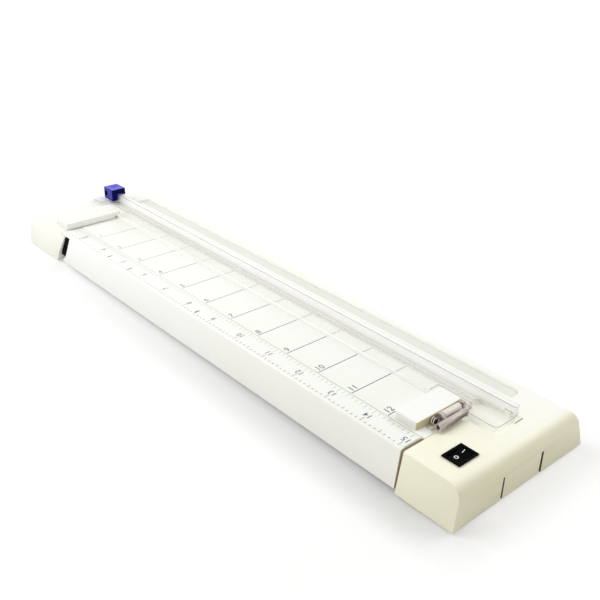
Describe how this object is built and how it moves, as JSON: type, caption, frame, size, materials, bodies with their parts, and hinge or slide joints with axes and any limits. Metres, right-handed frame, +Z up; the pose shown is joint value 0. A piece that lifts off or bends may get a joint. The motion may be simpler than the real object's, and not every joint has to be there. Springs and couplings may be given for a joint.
{
  "type": "sliding paper trimmer",
  "caption": "Desktop sliding paper trimmer: long low case, clear lift-up rail with a small sliding blade carriage, paper guides, light window and a swing-out rule arm.",
  "frame": {"origin": "middle of the footprint on the plane that the rubber feet stand on", "axes": "+X along the cut from the rule's zero towards the switch, +Y from the operator's side to the back, +Z up"},
  "size_m": [0.4146, 0.104, 0.0373],
  "materials": {
    "ivory_plastic": "fine satin moulded plastic",
    "white_plastic": "smooth satin, printed rule and grid",
    "clear_plastic": "clear polished plastic with scuffed edges",
    "blue_plastic": "glossy royal blue",
    "black_plastic": "semi-gloss black",
    "grey_plastic": "soft matt grey",
    "frosted_plastic": "frosted light diffuser",
    "circuit_board": "coated board",
    "cell_wrap": "plain unprinted wrap",
    "bright_steel": "ground and polished steel",
    "nickel": "nickel-plated steel",
    "rubber": "matt rubber"
  },
  "bodies": {
    "base": {"upper_case": "ivory_plastic", "bottom_cover": "ivory_plastic", "left_guide": "ivory_plastic", "right_guide": "ivory_plastic", "bed_plate": "white_plastic", "hinge_barrel": "white_plastic", "cutting_strip": "grey_plastic", "light_window": "frosted_plastic", "led_strip": "circuit_board", "arm_hinge_block": "black_plastic", "switch_body": "black_plastic", "arm_hinge_pin": "bright_steel", "hinge_pin": "bright_steel", "hinge_spring": "nickel", "battery_contacts": "nickel", "battery_bridge": "nickel", "rubber_foot_1": "rubber", "rubber_foot_2": "rubber", "rubber_foot_3": "rubber", "rubber_foot_4": "rubber", "cover_screw_1": "nickel", "cover_screw_2": "nickel", "cover_screw_3": "nickel", "cover_screw_4": "nickel", "cover_screw_5": "nickel", "cover_screw_6": "nickel", "battery_1": "cell_wrap", "battery_2": "cell_wrap", "battery_3": "cell_wrap"},
    "arm": {"swing_arm": "white_plastic", "arm_scale": "white_plastic", "arm_foot": "rubber"},
    "rail": {"clear_rail": "clear_plastic"},
    "carriage": {"carriage_shoe": "blue_plastic", "carriage_spring": "nickel"},
    "cap": {"carriage_cap": "blue_plastic", "blade": "bright_steel", "blade_rivet": "nickel"},
    "rocker": {"switch_rocker": "black_plastic"},
    "door": {"battery_door": "ivory_plastic"}
  },
  "joints": [
    {"name": "arm_swing", "type": "hinge", "parent": "base", "child": "arm", "pos_m": [-0.1549, -0.0483, 0.0145], "axis": [0, 0, 1], "range_deg": [-90, 0]},
    {"name": "rail_lift", "type": "hinge", "parent": "base", "child": "rail", "pos_m": [0.169, -0.011, 0.0294], "axis": [0, 1, 0], "range_deg": [0, 10]},
    {"name": "carriage_slide", "type": "slide", "parent": "rail", "child": "carriage", "axis": [1, 0, 0], "range_m": [0, 0.35]},
    {"name": "cap_press", "type": "slide", "parent": "carriage", "child": "cap", "axis": [0, 0, -1], "range_m": [0, 0.0009], "stiffness_N_per_m": 400, "springref_m": -0.0006, "deforming": ["carriage_spring"]},
    {"name": "rocker_tilt", "type": "hinge", "parent": "base", "child": "rocker", "pos_m": [0.19185, -0.03175, 0.0223], "axis": [1, 0, 0], "range_deg": [-16, 0]},
    {"name": "battery_door_slide", "type": "slide", "parent": "base", "child": "door", "axis": [1, 0, 0], "range_m": [0, 0.048]}
  ]
}
